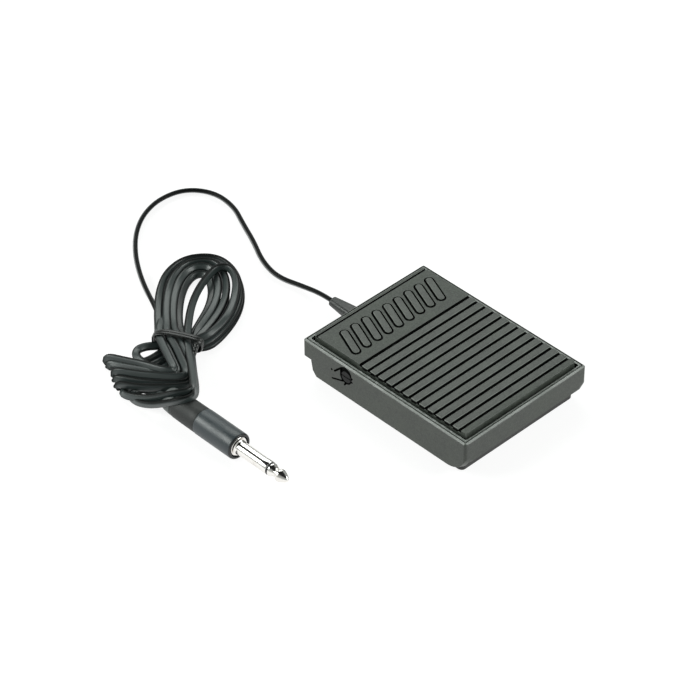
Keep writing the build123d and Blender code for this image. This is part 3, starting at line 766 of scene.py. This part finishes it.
def lathe(name, profile, material, segments=72):
    """Spin (distance along Y, radius) pairs, in mm, round the plug's axis."""
    verts, faces, rings = [], [], []
    for along, radius in profile:
        if radius <= 1e-6:
            rings.append([len(verts)])
            verts.append((plug_x, along * mm, plug_z))
            continue
        rings.append(list(range(len(verts), len(verts) + segments)))
        for step in range(segments):
            angle = 2 * math.pi * step / segments
            reach = radius * mm
            verts.append((plug_x + reach * math.cos(angle), along * mm, plug_z + reach * math.sin(angle)))
    for one, other in zip(rings, rings[1:]):
        for step in range(segments):
            after = (step + 1) % segments
            corners = [one[step % len(one)], one[after % len(one)],
                       other[after % len(other)], other[step % len(other)]]
            faces.append(tuple(dict.fromkeys(corners)))
    piece = link_mesh(name, verts, faces)
    point_outwards(piece)
    smooth_by_angle(piece, 40)
    dress(piece, material)
    return piece


plug_cap = lathe("plug_cap_soft", [
    (65.9, 0), (65.9, 5.2), (66.5, 5.75), (67.4, 5.7), (68.6, 5.6), (70.2, 5.45), (71.4, 5.2), (72.1, 4.8),
    (72.6, 4.2), (72.9, 3.4), (73.0, 2.4), (73.0, 0),
], cap_rubber)
plug_boot = lathe("plug_boot_soft", [
    (50.35, 0), (50.35, 5.7), (50.45, 5.95), (50.8, 6.05), (53.0, 6.05), (57.0, 6.03), (61.0, 5.98), (64.4, 5.9),
    (65.3, 5.8), (65.8, 5.5), (66.0, 5.1), (66.0, 0),
], boot_rubber)
plug_barrel = lathe("plug_barrel_shell", [
    (28.7, 0), (28.7, 4.8), (28.6, 4.85), (27.75, 4.9), (27.5, 5.0), (27.38, 5.25), (27.42, 5.6), (27.6, 5.9),
    (27.95, 6.1), (28.5, 6.2), (32.0, 6.2), (38.0, 6.2), (44.0, 6.2), (49.6, 6.2), (50.1, 6.15), (50.35, 6.0),
    (50.4, 5.8), (50.4, 0),
], barrel_plastic)
plug_barrel.data.materials.append(ring_plastic)
for face in plug_barrel.data.polygons:
    face.material_index = 1 if face.center.y < 28.1 * mm else 0
plug_collar = lathe("plug_collar", [
    (27.75, 0), (27.75, 4.1), (27.8, 4.3), (27.95, 4.42), (28.3, 4.45), (28.7, 4.45), (28.7, 0),
], plug_nickel)
plug_sleeve = lathe("plug_sleeve_bright", [
    (8.6, 0), (8.6, 2.95), (8.7, 3.1), (8.95, 3.175), (12.0, 3.175), (18.0, 3.175), (25.8, 3.175), (26.6, 3.2),
    (27.0, 3.4), (27.15, 3.7), (27.2, 3.9), (27.2, 0),
], plug_nickel)
plug_ring = lathe("plug_ring", [
    (7.6, 0), (7.6, 2.9), (7.8, 3.0), (8.4, 3.0), (8.6, 2.95), (8.6, 0),
], ring_plastic)
plug_tip = lathe("plug_tip_bright", [
    (7.6, 0), (7.6, 2.85), (7.45, 3.0), (7.1, 3.02), (6.6, 2.9), (5.9, 2.5), (5.2, 2.25), (4.6, 2.1), (4.1, 2.12),
    (3.6, 2.35), (3.0, 2.75), (2.5, 2.93), (2.0, 2.95), (1.5, 2.85), (0.6, 2.5), (-0.4, 2.0), (-1.3, 1.45),
    (-2.0, 0.9), (-2.3, 0.5), (-2.4, 0),
], plug_nickel)
print("plug pieces", 7)

on_lead = [tie_wrap, *tie_ends, plug_cap, plug_boot, plug_barrel, plug_collar, plug_sleeve, plug_ring, plug_tip]
for piece in [lead, *on_lead]:
    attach(piece, "base")
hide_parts("cord_run", "cord_hank", "cord_tail")
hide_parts("hank_tie")
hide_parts("plug_cap")
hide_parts("plug_boot")
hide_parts("plug_barrel")
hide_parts("plug_sleeve")
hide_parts("plug_insulator")
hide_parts("plug_tip")

# %% [markdown]
# ## The lid, the tray and the small mouldings
#
# The lid and the tray already have their right shape from the CAD, with its walls, recesses and
# slits. What a CAD solid lacks is the tiny round that every moulded edge has, which is what catches
# the light. So each is copied, its loose triangles are joined into whole faces, and a bevel of a
# few tenths of a millimetre goes along every sharp edge.

# %% Soft-edged mouldings
lid = soft_edged_copy("treadle_lid", "lid_shell", 0.22 * mm)
for material in (lid_plastic, rim_painted_highlight, groove_painted_shade):
    lid.data.materials.append(material)
lid_side, lid_end = lid_high.x, lid_high.y
groove_inset, bead_inset, bead_end, rim_width = 0.9 * mm, 1.42 * mm, 1.6 * mm, 2.7 * mm
slit_low, slit_high = (lid_side - 1.65 * mm, 3 * mm, 5 * mm), (lid_side - 0.12 * mm, 36 * mm, 17 * mm)
# Faces in the rim's groove and in the slits get the near-black finish, a painted shade; faces on the top of the
# rim's bead get the paler rim finish, a painted highlight.
for face in lid.data.polygons:
    corners = [lid.data.vertices[index].co for index in face.vertices]
    insets = [min(lid_side - abs(corner.x), lid_end - abs(corner.y)) for corner in corners]
    lowest, highest = (pick(corner.z for corner in corners) for pick in (min, max))
    on_rim = max(insets) < rim_width and lowest > rim_top - 0.75 * mm
    in_groove = on_rim and min(insets) > groove_inset and highest < rim_top - 0.2 * mm and max(insets) < bead_end
    middle = (abs(face.center.x), face.center.y, face.center.z)
    if in_groove or all(low < part < high for low, part, high in zip(slit_low, middle, slit_high)):
        face.material_index = 2
    elif on_rim and min(insets) > bead_inset and highest > rim_top - 0.1 * mm:
        face.material_index = 1
    else:
        face.material_index = 0
tally = [sum(face.material_index == slot for face in lid.data.polygons) for slot in range(3)]
print("lid faces: plain, bead, groove", tally)
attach(lid, "treadle")
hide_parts("treadle_lid")

tray = soft_edged_copy("base_tray", "tray_shell", 0.18 * mm)
dress(tray, tray_plastic)
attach(tray, "base")
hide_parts("base_tray")

relief_sleeve = soft_edged_copy("strain_relief", "relief_sleeve", 0.45 * mm, 3, 25)
dress(relief_sleeve, sleeve_plastic)
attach(relief_sleeve, "base")
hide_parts("strain_relief")

# %% [markdown]
# ## The mat
#
# The mat is one rubber moulding: a slab with ribs across it, for grip, and a smooth band near the
# rear with a row of slanted bars, each in its own hollow. The ribs and bars repeat, so Geometry
# Nodes make them: one shape is set out along a line, a pitch apart. The slab below is a plain
# profile, and larger copies of the bars are cut out of it. The ribs could be part of that profile,
# but as pieces of their own they get rounder edges, a painted highlight on them, and a colour that
# sinks to black towards the grooves, a painted shade. The groove floors and hollows are painted
# near black as shade too.

# %% Mat sizes, from the frame
mat_side = mat_high.x
mat_front, mat_rear, mat_under = mat_low.y, mat_high.y, mat_low.z
rib_pitch, groove_width, groove_depth = 4.92 * mm, 1.5 * mm, 1.3 * mm
first_groove, groove_count = 17.0 * mm, 13
print("mat top, mm", round(mat_top / mm, 2), "from", round(mat_front / mm, 2), "to", round(mat_rear / mm, 2))


# %% Helpers for geometry node trees
def new_tree(name, inputs):
    """A geometry tree, the sockets that it is given, and the node that it puts out by."""
    tree = bpy.data.node_groups.new(name, "GeometryNodeTree")
    tree.interface.new_socket("Geometry", in_out="INPUT", socket_type="NodeSocketGeometry")
    for label, kind, value in inputs:
        socket = tree.interface.new_socket(label, in_out="INPUT", socket_type="NodeSocket" + kind)
        if value is not None:
            socket.default_value = value
    tree.interface.new_socket("Geometry", in_out="OUTPUT", socket_type="NodeSocketGeometry")
    return tree, tree.nodes.new("NodeGroupInput").outputs, tree.nodes.new("NodeGroupOutput")


def rounded_box(tree, width, height, radius, points):
    """A rectangle with this many points round each corner."""
    box = add_node(tree, "GeometryNodeCurvePrimitiveQuadrilateral", {"Width": width, "Height": height}).outputs[0]
    return add_node(tree, "GeometryNodeFilletCurve", {
        "Curve": box, "Radius": radius, "Count": points,
    }, mode="POLY").outputs[0]


def set_out(tree, shape, given, step, put_out, turn=(0, 0, 0)):
    """Set copies of a shape out one step apart, make them real and give them a material."""
    places = add_node(tree, "GeometryNodeMeshLine", {
        "Count": given["Count"], "Start Location": given["Start"],
        "Offset": add_node(tree, "ShaderNodeCombineXYZ", step).outputs[0],
    }, mode="OFFSET").outputs[0]
    copies = add_node(tree, "GeometryNodeInstanceOnPoints", {"Points": places, "Instance": shape, "Rotation": turn})
    real = add_node(tree, "GeometryNodeRealizeInstances", {0: copies.outputs[0]}).outputs[0]
    finish = add_node(tree, "GeometryNodeSetMaterial", {"Geometry": real, "Material": given["Material"]})
    feed(tree, put_out, {"Geometry": finish.outputs[0]})


def run_tree(name, tree, values):
    """A new object whose mesh is what the tree makes with these inputs, as a plain mesh."""
    holder = bpy.data.objects.new(name, bpy.data.meshes.new(name))
    scene.collection.objects.link(holder)
    nodes = holder.modifiers.new("made", "NODES")
    nodes.node_group = tree
    for item in tree.interface.items_tree:
        if item.in_out == "INPUT" and item.name in values:
            nodes[item.identifier] = values[item.name]
    settle(holder)
    print(name, "has", len(holder.data.polygons), "faces")
    return holder


# %% Rounded ribs across the mat
rib_tree, given, put_out = new_tree("mat_ribs", [
    ("Count", "Int", 12), ("Pitch", "Float", 0.005), ("Rib Width", "Float", 0.0034), ("Rib Height", "Float", 0.0016),
    ("Rib Length", "Float", 0.067), ("Edge Round", "Float", 0.0004), ("Start", "Vector", None),
    ("Material", "Material", None),
])
left_end, right_end = (
    add_node(rib_tree, "ShaderNodeCombineXYZ", {
        "X": calculate(rib_tree, "MULTIPLY", given["Rib Length"], half),
    }).outputs[0] for half in (-0.5, 0.5)
)
rib_line = add_node(rib_tree, "GeometryNodeCurvePrimitiveLine", {"Start": left_end, "End": right_end}).outputs[0]
rib = add_node(rib_tree, "GeometryNodeCurveToMesh", {
    "Curve": rib_line, "Fill Caps": True,
    "Profile Curve": rounded_box(rib_tree, given["Rib Width"], given["Rib Height"], given["Edge Round"], 4),
}).outputs[0]
set_out(rib_tree, rib, given, {"Y": calculate(rib_tree, "MULTIPLY", given["Pitch"], -1.0)}, put_out)

rib_width = rib_pitch - groove_width
rib_height = groove_depth + 0.8 * mm
first_rib = first_groove - rib_pitch / 2
ribs = run_tree("mat_ribs", rib_tree, {
    "Count": groove_count - 1, "Pitch": rib_pitch, "Rib Width": rib_width, "Rib Height": rib_height,
    "Rib Length": 2 * mat_side, "Edge Round": 0.32 * mm, "Start": (0.0, first_rib, mat_top - rib_height / 2),
    "Material": rib_rubber,
})
point_outwards(ribs)
round_edges(ribs, 0.45 * mm, 3, 50)


# %% The slab: front strip, grooved middle and rear band in one profile
seam_front, seam_rear, seam_depth = mat_rear - 2.1 * mm, mat_rear - 1.2 * mm, 0.9 * mm
corner_round = 1.1 * mm


def mat_slab():
    groove_floor = mat_top - groove_depth
    front_edge = first_groove - (groove_count - 1) * rib_pitch - groove_width / 2
    rear_edge = first_groove + groove_width / 2
    profile = [
        (mat_front, mat_under), (mat_front, mat_top), (front_edge, mat_top), (front_edge, groove_floor),
        (rear_edge, groove_floor), (rear_edge, mat_top), (seam_front, mat_top), (seam_front, mat_top - seam_depth),
        (seam_rear, mat_top - seam_depth), (seam_rear, mat_top), (mat_rear, mat_top), (mat_rear, mat_under),
    ]
    count = len(profile)
    verts = [(-mat_side, y, z) for y, z in profile] + [(mat_side, y, z) for y, z in profile]
    faces = [(a, (a + 1) % count, (a + 1) % count + count, a + count) for a in range(count)]
    faces += [tuple(range(count)), tuple(range(count, 2 * count))]
    piece = link_mesh("mat_slab", verts, faces, smooth=False)
    point_outwards(piece)
    work = bmesh.new()
    work.from_mesh(piece.data)
    upright = []
    for edge in work.edges:
        one, other = (vert.co for vert in edge.verts)
        at_an_end = min(abs(one.y - mat_front), abs(one.y - mat_rear)) < 1e-6
        if at_an_end and abs(one.y - other.y) < 1e-6 and abs(one.z - other.z) > 1 * mm:
            upright.append(edge)
    bmesh.ops.bevel(work, geom=upright, offset=corner_round, segments=6, profile=0.5, affect="EDGES")
    work.to_mesh(piece.data)
    work.free()
    return piece


slab = mat_slab()

# %% Slanted grip bars on the rear band
grip_tree, given, put_out = new_tree("grip_bars", [
    ("Count", "Int", 9), ("Pitch", "Float", 0.0069), ("Bar Length", "Float", 0.0094), ("Bar Width", "Float", 0.003),
    ("Bar Height", "Float", 0.0008), ("Tilt", "Float", -0.42), ("Start", "Vector", None),
    ("Material", "Material", None),
])
bar_corner = calculate(grip_tree, "MULTIPLY", given["Bar Width"], 0.49)
bar_outline = rounded_box(grip_tree, given["Bar Width"], given["Bar Length"], bar_corner, 8)
bar_base = add_node(grip_tree, "GeometryNodeFillCurve", {"Curve": bar_outline}, mode="NGONS").outputs[0]
bar_lift = add_node(grip_tree, "GeometryNodeExtrudeMesh", {
    "Mesh": bar_base, "Individual": False, "Offset Scale": given["Bar Height"],
}, mode="FACES")
bar_under = add_node(grip_tree, "GeometryNodeFlipFaces", {0: bar_base})
bar_whole = add_node(grip_tree, "GeometryNodeJoinGeometry", {0: bar_lift.outputs[0]})
feed(grip_tree, bar_whole, {0: bar_under.outputs[0]})
bar_closed = add_node(grip_tree, "GeometryNodeMergeByDistance", {0: bar_whole.outputs[0], "Distance": 0.005 * mm})
bar_turn = add_node(grip_tree, "ShaderNodeCombineXYZ", {"Z": given["Tilt"]}).outputs[0]
set_out(grip_tree, bar_closed.outputs[0], given, {"X": given["Pitch"]}, put_out, bar_turn)

grip_count, grip_pitch = 9, 6.5 * mm
bar_length, bar_width, hollow_border, hollow_depth = 16.0 * mm, 3.0 * mm, 0.9 * mm, 0.9 * mm
bar_row = {
    "Count": grip_count, "Pitch": grip_pitch, "Tilt": math.radians(-22),
    "Start": (-(grip_count - 1) / 2 * grip_pitch, 31.0 * mm, mat_top - hollow_depth - 0.1 * mm),
}
grip_bars = run_tree("grip_bars", grip_tree, {
    **bar_row, "Bar Length": bar_length, "Bar Width": bar_width,
    "Bar Height": grip_rise + hollow_depth + 0.1 * mm, "Material": bar_rubber,
})
point_outwards(grip_bars)
round_edges(grip_bars, 0.30 * mm, 3, 40)

# %% The same tree, with longer and wider bars, cuts the hollow round each bar
hollows = run_tree("grip_hollows", grip_tree, {
    **bar_row, "Bar Length": bar_length + 2 * hollow_border, "Bar Width": bar_width + 2 * hollow_border,
    "Bar Height": 3 * mm, "Material": groove_painted_shade,
    "Start": (*bar_row["Start"][:2], mat_top - hollow_depth),
})
point_outwards(hollows)
cut = slab.modifiers.new("hollows", "BOOLEAN")
cut.operation = "DIFFERENCE"
cut.solver = "EXACT"
cut.object = hollows
settle(slab)
bpy.data.objects.remove(hollows)
round_edges(slab, 0.28 * mm, 3, 40)
slab.data.materials.clear()
slab.data.materials.append(mat_rubber)
slab.data.materials.append(groove_painted_shade)
# Faces inside the mat and below its top, on the groove floors and in the hollows, get the near-black finish: painted
# shade.
seen_edge, top_edge, under_edge = 0.6 * mm, 0.35 * mm, 0.3 * mm
for face in slab.data.polygons:
    x, y, z = face.center
    within = abs(x) < mat_side - seen_edge and mat_front + seen_edge < y < mat_rear - seen_edge
    face.material_index = 1 if within and mat_under + under_edge < z < mat_top - top_edge else 0
print("slab faces", len(slab.data.polygons))

# %% A black sheet under the mat, painted shade in the gap round it
gap_shade_out, gap_shade_in = 1.05 * mm, 0.4 * mm


def mat_gap_shade():
    verts, faces = [], []
    gap_shade_low, gap_shade_high = mat_under + 0.02 * mm, mat_under + 0.35 * mm
    for inset, z in ((-gap_shade_out, gap_shade_low), (-gap_shade_out, gap_shade_high), (gap_shade_in, gap_shade_high), (gap_shade_in, gap_shade_low)):
        verts += [(-mat_side + inset, mat_front + inset, z), (mat_side - inset, mat_front + inset, z),
                  (mat_side - inset, mat_rear - inset, z), (-mat_side + inset, mat_rear - inset, z)]
    for ring in range(4):
        for corner in range(4):
            a, b = ring * 4 + corner, ring * 4 + (corner + 1) % 4
            c, d = ((ring + 1) % 4) * 4 + (corner + 1) % 4, ((ring + 1) % 4) * 4 + corner
            faces.append((a, b, c, d))
    piece = link_mesh("mat_gap_shade", verts, faces, smooth=False)
    point_outwards(piece)
    return piece


gap_shade = mat_gap_shade()
dress(gap_shade, groove_painted_shade)
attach(gap_shade, "treadle")
for piece in (slab, ribs, grip_bars):
    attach(piece, "treadle")
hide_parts("tread_mat")

# %% [markdown]
# ## Finishes for the parts that stay as the CAD made them
#
# The pins, pads, spring, switch parts and wires keep their own meshes and only get finishes.

# %% Dress the remaining nodes
node_finish = {
    "sole_pad": sole_rubber, "rest_pad": sole_rubber, "bumper": sole_rubber, "hinge_pin": pin_plastic,
    "return_spring": zinc_steel, "ballast_plate": zinc_steel, "ballast_screw": zinc_steel,
    "contact_screw": zinc_steel, "clamp_screw": zinc_steel, "contact_block": tray_plastic,
    "clamp_bar": tray_plastic, "contact_leaf": leaf_brass, "contact_bridge": leaf_brass,
    "inner_wire_left": wire_red, "inner_wire_right": wire_white,
}
dressed = 0
for node_name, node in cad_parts.items():
    for start, material in node_finish.items():
        if node_name.startswith(start):
            dress(node, material)
            dressed += 1
print("nodes dressed", dressed)

# %% [markdown]
# %% [markdown]
# ## Floor and light
#
# The floor is a wide sheet of pale paper that glows a little, so that it stays white. Light comes
# from three soft boxes, which, with the rim's painted highlight, draw the bright lines along the
# rim: one behind on the left, one in front on the right and a weaker one above the rear. The room's own light falls
# off overhead.

# %% Floor
floor_half = 1.6
floor_z = -0.05 * mm
floor = link_mesh("floor_paper", [
    (x * floor_half, y * floor_half, floor_z) for x, y in ((-1, -1), (1, -1), (1, 1), (-1, 1))
], [(0, 1, 2, 3)])
paper, paper_shader, paper_tree = start_material("floor_paper")
paper_shader.inputs["Base Color"].default_value = (0.22, 0.22, 0.22, 1)
paper_shader.inputs["Roughness"].default_value = 0.9
paper_shader.inputs["Specular IOR Level"].default_value = 0.1
paper_shader.inputs["Emission Color"].default_value = (1, 1, 1, 1)
paper_shader.inputs["Emission Strength"].default_value = 0.86
floor.data.materials.append(paper)


# %% Lights
lit_point = Vector((0, 0.04, 0.01))


def soft_box(name, place, size, power):
    data = bpy.data.lights.new(name, "AREA")
    data.shape = "RECTANGLE"
    data.size, data.size_y = size
    data.energy = power
    data.color = (0.96, 1.0, 0.97)
    light = bpy.data.objects.new(name, data)
    light.location = place
    light.rotation_mode = "QUATERNION"
    light.rotation_quaternion = (lit_point - Vector(place)).to_track_quat("-Z", "Y")
    scene.collection.objects.link(light)


soft_box("box_left_rear", (-0.83, 0.76, 0.70), (0.75, 0.45), 11.0)
soft_box("box_right_front", (0.70, -0.80, 0.72), (0.75, 0.45), 9.0)
soft_box("box_over_rear", (0.55, 0.75, 1.00), (1.0, 0.7), 7.0)
room = bpy.data.worlds.new("white_room")
room.use_nodes = True
sky = room.node_tree
upward = add_node(sky, "ShaderNodeSeparateXYZ", {0: coordinates(sky, "Generated")}).outputs["Z"]
sky_fade = add_node(sky, "ShaderNodeValToRGB", {"Fac": upward})
sky_fade.color_ramp.elements[0].position = 0.02
sky_fade.color_ramp.elements[0].color = (0.80, 0.83, 0.81, 1)
sky_fade.color_ramp.elements[1].position = 0.80
sky_fade.color_ramp.elements[1].color = (0.02, 0.02, 0.02, 1)
for place, tone in ((0.45, 0.50), (0.74, 0.34)):
    stop = sky_fade.color_ramp.elements.new(place)
    stop.color = (tone, tone * 1.04, tone * 1.01, 1)
feed(sky, sky.nodes["Background"], {"Color": sky_fade.outputs["Color"], "Strength": 0.8})
scene.world = room
